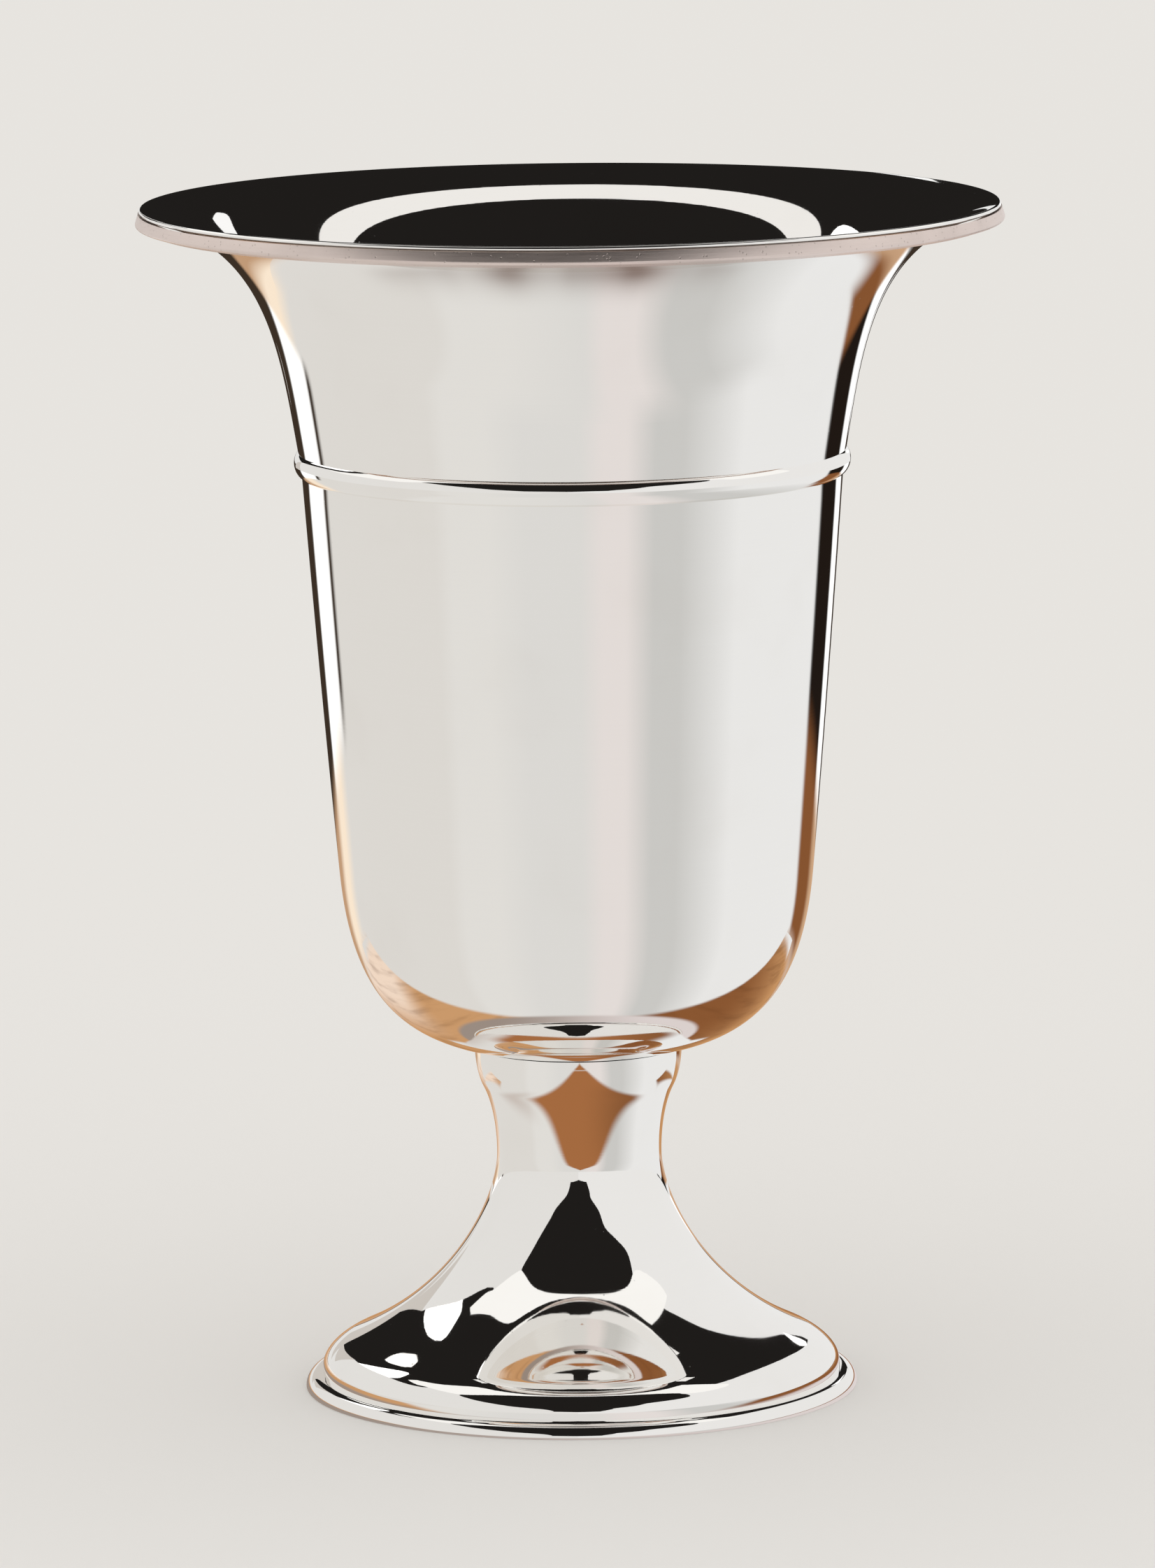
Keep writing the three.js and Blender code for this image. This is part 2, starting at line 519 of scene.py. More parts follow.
@dataclass
class Bead(CupPiece):
    """Half-round wire soldered round the wall below the flare."""

    name: ClassVar[str] = "bead_wire"
    node: ClassVar[str] = "bead"
    proud: float = 0.00125
    sunk: float = 0.0004
    fullness: float = 0.22
    steps: int = 20

    def build(self) -> bpy.types.Object:
        """Returns the ring, whose back lies inside the wall."""
        lower, upper = self.levels.bead_seat
        rise = upper - lower
        off_wall = at(rise.z, -rise.x).normalized()
        # The middle of a curve comes three quarters of the way out to its handles.
        handle = off_wall * self.proud * 4 / 3
        inwards = rise * self.fullness
        front = HalfSection([lower]).curve(
            lower + handle + inwards, upper + handle - inwards, upper, self.steps
        )
        front.line(upper - off_wall * self.sunk, lower - off_wall * self.sunk)
        return TurnedPiece(front, closed=True).spin().finished(self.name)


@dataclass
class RimBand(CupPiece):
    """Flat wire under the edge of the lip, square to it."""

    name: ClassVar[str] = "rim_band_wire"
    node: ClassVar[str] = "rim_band"
    slot: ClassVar[str] = "satin_silver"
    round_steps: int = 5

    def build(self) -> bpy.types.Object:
        """Returns the ring, turned from a leaning rectangle whose lower outer edge is rounded."""
        size = self.levels
        slope = size.lip_slope
        down = slope - QUARTER_TURN
        top_outer = away(size.lip_edge, down, size.seam)
        top_inner = away(top_outer, slope, -size.band_width)
        bottom_inner = away(top_inner, down, size.band_height)
        bottom_outer = away(top_outer, down, size.band_height)
        section = HalfSection([top_inner, bottom_inner, bottom_outer, top_outer])
        ring = TurnedPiece(section, closed=True).spin()
        middle = (bottom_inner.x + bottom_outer.x) / 2
        ring.round_edges(
            lambda spot: spot.xy.length > middle and spot.z < top_inner.z,
            size.band_round,
            self.round_steps,
        )
        return ring.finished(self.name)


@dataclass(frozen=True)
class Signal:
    """A value that a shader node gives out, on which Python arithmetic adds Math nodes."""

    web: "NodeWeb"
    socket: bpy.types.NodeSocket

    def math(self, operation: str, *values: "float | Signal") -> "Signal":
        """Adds a Math node.

        Args:
            operation: its operation.
            values: what it works on, in order.

        Returns:
            Its result.
        """
        node = self.web.node("ShaderNodeMath", {"operation": operation}, dict(enumerate(values)))
        return Signal(self.web, node.outputs[0])

    def __add__(self, other: "float | Signal") -> "Signal":
        """Adds."""
        return self.math("ADD", self, other)

    def __radd__(self, other: float) -> "Signal":
        """Adds to a number."""
        return self.math("ADD", other, self)

    def __sub__(self, other: "float | Signal") -> "Signal":
        """Subtracts."""
        return self.math("SUBTRACT", self, other)

    def __rsub__(self, other: float) -> "Signal":
        """Subtracts from a number."""
        return self.math("SUBTRACT", other, self)

    def __mul__(self, other: "float | Signal") -> "Signal":
        """Multiplies."""
        return self.math("MULTIPLY", self, other)

    def __rmul__(self, other: float) -> "Signal":
        """Multiplies a number."""
        return self.math("MULTIPLY", other, self)

    def __truediv__(self, other: "float | Signal") -> "Signal":
        """Divides."""
        return self.math("DIVIDE", self, other)

    def __rtruediv__(self, other: float) -> "Signal":
        """Divides a number."""
        return self.math("DIVIDE", other, self)

    def lesser(self, limit: "float | Signal") -> "Signal":
        """Returns the lesser of this value and a limit."""
        return self.math("MINIMUM", self, limit)

    def size(self) -> "Signal":
        """Returns the value without its sign."""
        return self.math("ABSOLUTE", self)

    def step(self, low: float, high: float) -> "Signal":
        """Eases from 0 at one value to 1 at another.

        Args:
            low: the value that gives 0.
            high: the value that gives 1. It may be the lower of the two.

        Returns:
            The eased share.
        """
        start, end, first, last = (low, high, 0.0, 1.0) if low < high else (high, low, 1.0, 0.0)
        node = self.web.node(
            "ShaderNodeMapRange",
            {"interpolation_type": "SMOOTHSTEP"},
            {"Value": self, "From Min": start, "From Max": end, "To Min": first, "To Max": last},
        )
        return Signal(self.web, node.outputs[0])


class NodeWeb:
    """The nodes of one material or of the world."""

    def __init__(self, owner: bpy.types.ID) -> None:
        """Empties the owner's node tree."""
        owner.use_nodes = True
        self.tree = owner.node_tree
        self.tree.nodes.clear()

    def node(
        self,
        kind: str,
        settings: dict[str, object] | None = None,
        sockets: dict[str | int, object] | None = None,
    ) -> bpy.types.Node:
        """Adds a node.

        Args:
            kind: its type.
            settings: what is set on the node itself, with "stops" for a ramp's stops.
            sockets: the value or the signal of each of its inputs, by name or by place. A colour has
                three parts and is opaque.

        Returns:
            The node.
        """
        node = self.tree.nodes.new(kind)
        for name, value in (settings or {}).items():
            if name == "stops":
                self._place_stops(node.color_ramp, value)
            else:
                setattr(node, name, value)
        usable = [socket for socket in node.inputs if socket.enabled]
        for key, value in (sockets or {}).items():
            by_name = (socket for socket in usable if socket.name == key)
            socket = usable[key] if isinstance(key, int) else next(by_name)
            if isinstance(value, Signal):
                self.tree.links.new(value.socket, socket)
            else:
                socket.default_value = (*value, 1.0) if socket.type == "RGBA" else value
        return node

    def _place_stops(self, ramp: bpy.types.ColorRamp, stops: Stops) -> None:
        """Sets a ramp's stops, of which it starts with two."""
        while len(ramp.elements) < len(stops):
            ramp.elements.new(0.5)
        for element, (place, colour) in zip(ramp.elements, stops):
            element.position, element.color = place, (*colour, 1.0)

    def signal(self, node: bpy.types.Node, output: str | int = 0) -> Signal:
        """Wraps one of a node's outputs."""
        return Signal(self, node.outputs[output])

    def finish(self, surface: bpy.types.Node, kind: str = "ShaderNodeOutputMaterial") -> None:
        """Sends a shader to an output of the given type."""
        self.node(kind, sockets={"Surface": self.signal(surface)})

    def blend(self, share: Signal, first: Colour | Signal, second: Colour | Signal) -> Signal:
        """Mixes two colours.

        Args:
            share: how much of the second there is.
            first: the colour at 0.
            second: the colour at 1.

        Returns:
            The mixed colour.
        """
        node = self.node(
            "ShaderNodeMix",
            {"data_type": "RGBA", "clamp_factor": True},
            {"Factor": share, "A": first, "B": second},
        )
        return Signal(self, next(socket for socket in node.outputs if socket.enabled))


class CupSurface:
    """Where a point of the cup lies: its place, its height and its distance from the axis."""

    ring_roughness: ClassVar[float] = 0.6
    speck_cutoff: ClassVar[float] = 0.98

    def __init__(self, web: NodeWeb) -> None:
        """Reads the piece's own coordinates, whose Z axis is the cup's axis."""
        self.web = web
        self.place = web.signal(web.node("ShaderNodeTexCoord"), "Object")
        split = web.node("ShaderNodeSeparateXYZ", sockets={0: self.place})
        self.across, self.deep, self.height = (web.signal(split, axis) for axis in "XYZ")
        self.radius = self.across.math("SQRT", self.across * self.across + self.deep * self.deep)

    def stretched(self, across: float, deep: float, height: float) -> Signal:
        """Returns the place, multiplied along each axis."""
        sockets = {"X": self.across * across, "Y": self.deep * deep, "Z": self.height * height}
        return self.web.signal(self.web.node("ShaderNodeCombineXYZ", sockets=sockets))

    def ring_noise(self, rings: float, length: float, detail: float) -> Signal:
        """Makes marks drawn out round the cup, as a polishing wheel leaves them.

        Args:
            rings: marks for each metre across them.
            length: marks for each metre along them.
            detail: how much finer ones lie among them.

        Returns:
            Values about a half.
        """
        noise = self.web.node(
            "ShaderNodeTexNoise",
            {"noise_dimensions": "4D"},
            {
                "Vector": self.stretched(length, length, rings),
                "W": self.radius * rings,
                "Scale": 1.0,
                "Detail": detail,
                "Roughness": self.ring_roughness,
            },
        )
        return self.web.signal(noise)

    def cloud(self, scale: float, detail: float, place: Signal | None = None) -> Signal:
        """Makes soft patches.

        Args:
            scale: patches for each metre.
            detail: how much finer ones lie among them.
            place: the place to read them at, if it isn't the point's own.

        Returns:
            Values about a half.
        """
        sockets = {"Vector": place or self.place, "Scale": scale, "Detail": detail}
        return self.web.signal(self.web.node("ShaderNodeTexNoise", sockets=sockets))

    def specks(self, scale: float, size: float, share: float) -> Signal:
        """Scatters small round specks.

        Args:
            scale: places for a speck in each metre.
            size: a speck's radius as a share of its place.
            share: how many of the places have one.

        Returns:
            1 on a speck and 0 off it.
        """
        cells = self.web.node("ShaderNodeTexVoronoi", sockets={"Vector": self.place, "Scale": scale})
        chance = self.web.node("ShaderNodeSeparateColor", sockets={0: self.web.signal(cells, "Color")})
        chosen = self.web.signal(chance).step(share, share * self.speck_cutoff)
        return self.web.signal(cells, "Distance").step(size, size / 2) * chosen


@dataclass(frozen=True)
class SilverPlate:
    """Silver plate, which each kind of finish gives its colour, roughness and relief."""

    name: ClassVar[str]
    relief: ClassVar[float]
    relief_depth: ClassVar[float] = 0.0001

    def marks(self, surface: CupSurface) -> tuple[Signal, Signal, Signal]:
        """Returns the colour, the roughness and the height of the relief."""
        raise NotImplementedError

    def material(self) -> bpy.types.Material:
        """Returns the finish as a material."""
        material = bpy.data.materials.new(self.name)
        web = NodeWeb(material)
        colour, roughness, height = self.marks(CupSurface(web))
        sockets = {"Strength": self.relief, "Distance": self.relief_depth, "Height": height}
        bump = web.signal(web.node("ShaderNodeBump", sockets=sockets))
        sockets = {"Base Color": colour, "Metallic": 1.0, "Roughness": roughness, "Normal": bump}
        web.finish(web.node("ShaderNodeBsdfPrincipled", sockets=sockets))
        return material


@dataclass(frozen=True)
class PolishedSilver(SilverPlate):
    """Mirror-polished silver plate, a little warm, with the faint marks of the polishing wheel."""

    name: ClassVar[str] = "polished_silver"
    relief: ClassVar[float] = 0.012
    tint: Colour = (0.945, 0.932, 0.908)
    haze_tint: Colour = (0.905, 0.885, 0.855)
    gloss: float = 0.022
    haze: float = 0.03
    haze_edge: Span = (0.5, 0.78)
    haze_colour: float = 0.5
    wheel_marks: float = 0.02
    wheel_edge: Span = (0.5, 0.85)
    wheel_colour: float = 0.25
    dust: float = 0.12

    def marks(self, surface: CupSurface) -> tuple[Signal, Signal, Signal]:
        """Returns the colour, the roughness and the height of the wheel marks."""
        wheel = surface.ring_noise(rings=2600.0, length=14.0, detail=3.0)
        patches = surface.cloud(scale=38.0, detail=3.0).step(*self.haze_edge)
        dust = surface.specks(scale=620.0, size=0.16, share=0.05)
        hazy = patches * self.haze_colour + wheel * self.wheel_colour
        marked = wheel.step(*self.wheel_edge) * self.wheel_marks
        roughness = self.gloss + patches * self.haze + marked + dust * self.dust
        return surface.web.blend(hazy, self.tint, self.haze_tint), roughness, wheel


@dataclass(frozen=True)
class SatinSilver(SilverPlate):
    """Unpolished silver plate, a little pink, with tiny pits and the scratches of the file."""

    name: ClassVar[str] = "satin_silver"
    relief: ClassVar[float] = 0.35
    tint: Colour = (0.77, 0.665, 0.62)
    pit_tint: Colour = (0.42, 0.36, 0.33)
    pit_colour: float = 0.5
    patch_edge: Span = (0.45, 0.9)
    patch_colour: float = 0.3
    roughness: float = 0.34
    file_roughness: float = 0.25
    patch_roughness: float = 0.08
    file_height: float = 0.5

    def marks(self, surface: CupSurface) -> tuple[Signal, Signal, Signal]:
        """Returns the colour, the roughness and the height of the scratches and pits."""
        scratches = surface.ring_noise(rings=5200.0, length=90.0, detail=4.0)
        pits = surface.specks(scale=1500.0, size=0.34, share=0.2)
        patches = surface.cloud(scale=70.0, detail=4.0)
        dull = pits * self.pit_colour + patches.step(*self.patch_edge) * self.patch_colour
        rougher = (scratches - 0.5) * self.file_roughness + patches * self.patch_roughness
        colour = surface.web.blend(dull, self.tint, self.pit_tint)
        return colour, self.roughness + rougher, scratches * self.file_height - pits


class Seen(Enum):
    """How a studio object is seen."""

    IN_POLISH = "in polished metal and nowhere else"
    DIRECTLY = "by all but polished metal"


def place_on_stage(
    name: str,
    shape: bmesh.types.BMesh,
    finish: bpy.types.Material,
    seen: Seen = Seen.IN_POLISH,
) -> None:
    """Makes a studio object of a shape.

    Args:
        name: its name.
        shape: its shape, which is freed.
        finish: its material.
        seen: how it is seen.
    """
    data = bpy.data.meshes.new(name)
    shape.to_mesh(data)
    shape.free()
    data.materials.append(finish)
    item = bpy.data.objects.new(name, data)
    bpy.context.scene.collection.objects.link(item)
    directly = seen is Seen.DIRECTLY
    item.visible_glossy = not directly
    item.visible_camera = item.visible_diffuse = directly
    item.visible_shadow = item.visible_transmission = directly


class CardGlow:
    """The glow of a card."""

    def __init__(self, name: str) -> None:
        """Starts the card's material."""
        self.name = name
        self.finish = bpy.data.materials.new(name)
        self.web = NodeWeb(self.finish)

    def light(
        self,
        shape: bmesh.types.BMesh,
        colour: Colour | Signal,
        strength: float = 1.0,
        share: Signal | None = None,
    ) -> None:
        """Finishes the card's material and puts the card on the stage.

        Args:
            shape: the card's shape, which is freed.
            colour: what it glows with.
            strength: how strongly.
            share: how much of it is there, if not all. The rest is clear.
        """
        glow = self.web.node("ShaderNodeEmission", sockets={"Color": colour, "Strength": strength})
        if share:
            clear = self.web.node("ShaderNodeBsdfTransparent")
            sockets = {0: share, 1: self.web.signal(clear), 2: self.web.signal(glow)}
            glow = self.web.node("ShaderNodeMixShader", sockets=sockets)
        self.web.finish(glow)
        place_on_stage(self.name, shape, self.finish)

    def ring(self, place: CupSurface, stops: Stops) -> Signal:
        """Colours a card round the cup's axis.

        Args:
            place: where a point of the card lies.
            stops: degrees round from the camera, to the right, each with its colour.

        Returns:
            The colour.
        """
        turn = place.across.math("ARCTAN2", place.across, 0.0 - place.deep)
        ramp = self.web.node(
            "ShaderNodeValToRGB",
            {"stops": tuple((0.5 + degrees / 360, colour) for degrees, colour in stops)},
            {0: turn / math.tau + 0.5},
        )
        return self.web.signal(ramp)

    def slant(self) -> Signal:
        """Returns how slantwise a ray comes, 0 being square to the card and 1 along it."""
        return self.web.signal(self.web.node("ShaderNodeLayerWeight", sockets={"Blend": 0.5}), "Facing")

    def seen_from_above(self, low: float | Signal, high: float, soft: float = 0.03) -> Signal:
        """Lets a level card show only to rays that come down on it at some slants.

        Args:
            low: the least slant.
            high: the greatest slant.
            soft: how softly it ends.

        Returns:
            1 where it shows and 0 where it doesn't.
        """
        slant = self.slant()
        inside = (slant - low).step(0.0, soft) * (high - slant).step(0.0, soft)
        return inside * (1.0 - self.seen_from_below())

    def seen_from_below(self) -> Signal:
        """Lets a level card show only to rays that come up to it."""
        return self.web.signal(self.web.node("ShaderNodeNewGeometry"), "Backfacing")


@dataclass(frozen=True)
class StudioFloor:
    """Plain pale floor."""

    reach: float = 9.0
    tint: Colour = (0.80, 0.785, 0.76)

    def build(self) -> None:
        """Makes the floor, a plain square."""
        shape = bmesh.new()
        bmesh.ops.create_grid(shape, x_segments=1, y_segments=1, size=self.reach)
        finish = bpy.data.materials.new("studio_floor")
        web = NodeWeb(finish)
        web.finish(web.node("ShaderNodeBsdfDiffuse", sockets={"Color": self.tint}))
        place_on_stage("studio_floor", shape, finish, Seen.DIRECTLY)


@dataclass(frozen=True)
class RingShades:
    """Shades round the cup, from pale panels in front to the dark and bright strips behind."""

    bright: Colour = WHITE
    left_dark: Colour = (0.036, 0.024, 0.016)
    right_dark: Colour = (0.012, 0.008, 0.006)
    left_pale: Colour = (0.605, 0.590, 0.568)
    middle: Colour = (0.600, 0.594, 0.582)
    middle_light: Colour = (0.632, 0.622, 0.604)
    warm: Colour = (0.650, 0.612, 0.602)
    cool: Colour = (0.498, 0.497, 0.488)
    right_pale: Colour = (0.688, 0.690, 0.692)
    cream: Colour = (0.80, 0.675, 0.54)
    peach: Colour = (0.44, 0.27, 0.16)
    sand: Colour = (0.52, 0.325, 0.195)
    brown: Colour = (0.20, 0.075, 0.026)
    strength: float = 1.25

    def panels(self) -> Stops:
        """Returns the pale panels in front, in degrees from the camera."""
        return (
            (-127.0, self.left_pale), (-60.0, self.left_pale), (-53.0, self.middle_light),
            (-36.0, self.middle_light), (-20.0, self.middle), (3.0, self.middle), (12.0, self.warm),
            (22.0, self.warm), (34.0, self.cool), (46.0, self.cool), (74.0, self.right_pale),
            (130.5, self.right_pale),
        )

    def far(self) -> Stops:
        """Returns the shades far from the cup."""
        return (
            (-180.0, self.left_dark), (-152.5, self.left_dark), (-150.5, self.bright),
            (-132.5, self.bright), (-131.5, self.left_dark), (-129.5, self.left_dark),
            *self.panels(), (132.5, self.right_dark), (151.0, self.right_dark),
            (153.0, self.bright), (163.0, self.bright), (165.0, self.left_dark),
            (180.0, self.left_dark),
        )

    def close(self) -> Stops:
        """Returns the shades close to the foot."""
        left = ((-180.0, self.cream), (-150.0, self.left_pale))
        return (*left, *self.panels(), (180.0, self.right_pale))

    def near(self) -> Stops:
        """Returns the shades near the cup."""
        return (
            (-180.0, self.peach), (-157.0, self.peach), (-148.0, self.cream), (-142.0, self.cream),
            (-133.0, self.left_pale), *self.panels(), (134.0, self.brown), (150.0, self.brown),
            (157.0, self.peach), (166.0, self.sand), (180.0, self.peach),
        )


SHADES = RingShades()


@dataclass(frozen=True)
class FloorCard:
    """Round card on the floor that the polish mirrors: pale in front and warm behind the cup.

    Each span holds where one shade starts to give way to another and where it ends, in metres.
    """

    reach: float = 2.5
    sides: int = 96
    height: float = -0.0001
    close_end: Span = (0.26, 0.36)
    near_end: Span = (0.66, 0.78)
    warm_front: float = 0.064
    warm_bend: float = 4.3
    warm_edge: Span = (-0.004, 0.005)
    # The warm shades hold painted light: lit peach on the left and dark brown in painted shade on the
    # right.
    warm_painted_light_left: Colour = (0.50, 0.275, 0.13)
    warm_painted_shade_right: Colour = (0.215, 0.082, 0.028)
    painted_shade_turn: Span = (-0.07, 0.06)
    warm_back: Colour = (0.48, 0.25, 0.108)
    warm_fade: Span = (0.01, 0.24)
    # A painted pool of light on the warm shades at the back left.
    warm_glow: Colour = (0.74, 0.59, 0.48)
    glow_across: Span = (-0.05, -0.135)
    glow_deep: Span = (0.02, 0.09)
    grain_tint: Colour = (0.10, 0.035, 0.012)
    grain_stretch: Triple = (60.0, 9.0, 0.0)
    grain_edge: Span = (0.45, 0.75)
    grain_share: float = 0.35
    left_side: Colour = (0.275, 0.225, 0.195)
    right_side: Colour = (0.60, 0.545, 0.54)
    side_turn: Span = (-0.06, 0.06)
    side_end: Span = (0.074, 0.068)

    def shades(self, glow: CardGlow, place: CupSurface) -> Signal:
        """Returns the shades round the cup, which change with the distance from it."""
        close, near, far = (
            glow.ring(place, stops) for stops in (SHADES.close(), SHADES.near(), SHADES.far())
        )
        inner = glow.web.blend(place.radius.step(*self.close_end), close, near)
        return glow.web.blend(place.radius.step(*self.near_end), inner, far)

    def warmth(self, web: NodeWeb, place: CupSurface) -> Signal:
        """Returns the warm shades behind the cup, with painted light on the left, painted shade on the
        right and a grain running away from it.
        """
        # Painted light and shade: lit peach on the left, turning to dark brown in painted shade on the
        # right.
        warm = web.blend(place.across.step(*self.painted_shade_turn), self.warm_painted_light_left, self.warm_painted_shade_right)
        warm = web.blend(place.deep.step(*self.warm_fade), warm, self.warm_back)
        # Painted pool of light at the back left.
        glowing = place.across.step(*self.glow_across) * place.deep.step(*self.glow_deep)
        warm = web.blend(glowing, warm, self.warm_glow)
        grain = place.cloud(scale=1.0, detail=3.0, place=place.stretched(*self.grain_stretch))
        return web.blend(grain.step(*self.grain_edge) * self.grain_share, warm, self.grain_tint)

    def build(self) -> None:
        """Makes the card."""
        shape = bmesh.new()
        bmesh.ops.create_circle(shape, cap_ends=True, segments=self.sides, radius=self.reach)
        bmesh.ops.translate(shape, verts=shape.verts, vec=(0.0, 0.0, self.height))
        glow = CardGlow("floor_card")
        web, place = glow.web, CupSurface(glow.web)
        curve = place.across * place.across * self.warm_bend - self.warm_front
        near, far = self.close_end
        behind = (place.deep - curve).step(*self.warm_edge) * place.radius.step(far, near)
        colour = web.blend(behind, self.shades(glow, place), self.warmth(web, place))
        beside = web.blend(place.across.step(*self.side_turn), self.left_side, self.right_side)
        colour = web.blend(place.radius.step(*self.side_end), colour, beside)
        glow.light(shape, colour, SHADES.strength)


def turn_up(shape: bmesh.types.BMesh) -> None:
    """Turns the faces of a level shape upwards."""
    for face in shape.faces:
        face.normal_update()
    bmesh.ops.reverse_faces(shape, faces=[face for face in shape.faces if face.normal.z < 0])


@dataclass(frozen=True)
class VeilCard:
    """Level card part of the way round the cup, which the polish mirrors only from above.

    It runs from start to end in steps, in degrees round from the camera, to the right.
    """

    name: str
    height: float
    inner: float
    outer: float
    start: float
    end: float
    step: float = 3.0

    def ring_shape(self) -> bmesh.types.BMesh:
        """Returns the card's shape, an edge spun about the cup's axis."""
        shape = bmesh.new()
        aim = Matrix.Rotation(math.radians(self.start) - QUARTER_TURN, 4, "Z")
        ends = [shape.verts.new(aim @ at(reach, self.height)) for reach in (self.inner, self.outer)]
        edge = shape.edges.new(ends)
        turn = self.end - self.start
        bmesh.ops.spin(
            shape,
            geom=[*ends, edge],
            cent=(0.0, 0.0, 0.0),
            axis=(0.0, 0.0, 1.0),
            angle=math.radians(turn),
            steps=round(turn / self.step),
        )
        turn_up(shape)
        return shape


@dataclass(frozen=True)
class StemVeil(VeilCard):
    """What the stem mirrors of the floor near it: warm in front and pale to either side.

    Each span holds where a shade or a limit starts to change and where it ends, in metres.
    """

    left: Colour = (0.46, 0.40, 0.365)
    left_across: Span = (-0.028, -0.042)
    left_reach: Span = (0.05, 0.036)
    brown: Colour = (0.315, 0.125, 0.045)
    dark: Colour = (0.10, 0.04, 0.016)
    dark_across: Span = (0.0, 0.035)
    dark_deep: Span = (-0.07, -0.02)
    dark_share: float = 0.5
    half_width: float = 0.036
    widening: float = 0.21
    middle: float = 0.003
    soft: float = 0.004
    front: Span = (-0.002, -0.016)
    limit: float = 0.30
    limit_reach: float = 0.06
    limit_rise: float = 7.0
    limit_most: float = 0.66
    limit_start: Span = (0.031, 0.043)
    limit_back: Span = (-0.02, 0.01)
    limit_more: float = 0.2
    most_slant: float = 2.0

    def least_slant(self, place: CupSurface) -> Signal:
        """Returns the least slant that the card shows at. It grows outwards and behind the stem."""
        outwards = self.limit + (place.radius - self.limit_reach) * self.limit_rise
        limit = outwards.lesser(self.limit_most) * place.radius.step(*self.limit_start)
        return (limit + place.deep.step(*self.limit_back) * self.limit_more).lesser(self.limit_most)

    def build(self) -> None:
        """Makes the card."""
        glow = CardGlow(self.name)
        web, place = glow.web, CupSurface(glow.web)
        left_back = place.across.step(*self.left_across) * place.radius.step(*self.left_reach)
        shades = web.blend(left_back, glow.ring(place, SHADES.close()), self.left)
        darker = place.across.step(*self.dark_across) * place.deep.step(*self.dark_deep)
        brown = web.blend(darker * self.dark_share, self.brown, self.dark)
        off_middle = (place.across - self.middle).size()
        inside = self.half_width + place.deep * self.widening - off_middle
        diamond = inside.step(-self.soft, self.soft) * place.deep.step(*self.front)
        share = glow.seen_from_above(self.least_slant(place), self.most_slant)
        glow.light(self.ring_shape(), web.blend(diamond, shades, brown), SHADES.strength, share)


@dataclass(frozen=True)
class FlareVeil(VeilCard):
    """What the underside of the flare mirrors: pale, with soft grey patches of painted shadow under the
    rim, close to the wall.

    Each painted shadow patch holds how far across its middle lies, its half width and its strength.
    """

    # Painted shadow: the soft grey shade under the rim, laid on the card in patches across it.
    painted_shadow_tint: Colour = (0.18, 0.13, 0.112)
    patches: tuple[Triple, ...] = (
        (-0.047, 0.013, 0.35), (-0.033, 0.014, 0.38), (-0.016, 0.014, 0.78), (0.001, 0.013, 0.58),
        (0.017, 0.016, 0.92), (0.036, 0.014, 0.35),
    )
    steepest: float = -1.0
    least_steep: float = 0.56
    soft: float = 0.12
    span: float = 0.3
    wall_reach: Span = (0.076, 0.061)
    wall_slant: Span = (0.32, 0.16)

    def bands(self) -> Stops:
        """Returns the shades from left to right, by how far across they lie."""
        return (
            (-0.042, SHADES.left_pale), (-0.037, SHADES.middle_light),
            (-0.020, SHADES.middle_light), (0.004, SHADES.middle), (0.010, SHADES.warm),
            (0.020, SHADES.warm), (0.030, SHADES.cool), (0.042, SHADES.cool),
            (0.065, SHADES.right_pale),
        )

    def build(self) -> None:
        """Makes the card."""
        glow = CardGlow(self.name)
        web, place = glow.web, CupSurface(glow.web)
        bands = web.node(
            "ShaderNodeValToRGB",
            {"stops": tuple((0.5 + across / self.span, colour) for across, colour in self.bands())},
            {0: place.across / self.span + 0.5},
        )
        # Painted shadow, close to the wall under the rim, in the patches below.
        under_rim_shadow = place.radius.step(*self.wall_reach) * glow.slant().step(*self.wall_slant)
        patches = sum(
            (place.across - middle).size().step(half_width, 0.0) * strength
            for middle, half_width, strength in self.patches
        )
        colour = web.blend(under_rim_shadow * patches, web.signal(bands), self.painted_shadow_tint)
        share = glow.seen_from_above(self.steepest, self.least_steep, self.soft)
        glow.light(self.ring_shape(), colour, SHADES.strength, share)


def eased(stations: tuple[Triple, ...], steps: int = 4) -> list[Vector]:
    """Runs a smooth curve through some stations.

    Args:
        stations: the stations, in order.
        steps: how many steps there are from each one to the next.

    Returns:
        The stations and the points between them.
    """
    points = [Vector(station) for station in stations]
    points = [points[0], *points, points[-1]]
    found = []
    for before, start, end, after in zip(points, points[1:], points[2:], points[3:]):
        for step in range(steps):
            part = step / steps
            leaving = (end - before) * (part - 2 * part**2 + part**3)
            coming = (after - start) * (part**3 - part**2)
            found.append(start + (end - start) * (3 * part**2 - 2 * part**3) + (leaving + coming) / 2)
    return [*found, points[-1]]


def bridged(first: list[Vector], second: list[Vector]) -> bmesh.types.BMesh:
    """Bridges two rows of points.

    Args:
        first: one row.
        second: the other row, with as many points.

    Returns:
        The strip between them.
    """
    shape = bmesh.new()
    edges = []
    for row in (first, second):
        verts = [shape.verts.new(point) for point in row]
        edges += [shape.edges.new(pair) for pair in zip(verts, verts[1:])]
    bmesh.ops.bridge_loops(shape, edges=edges)
    return shape


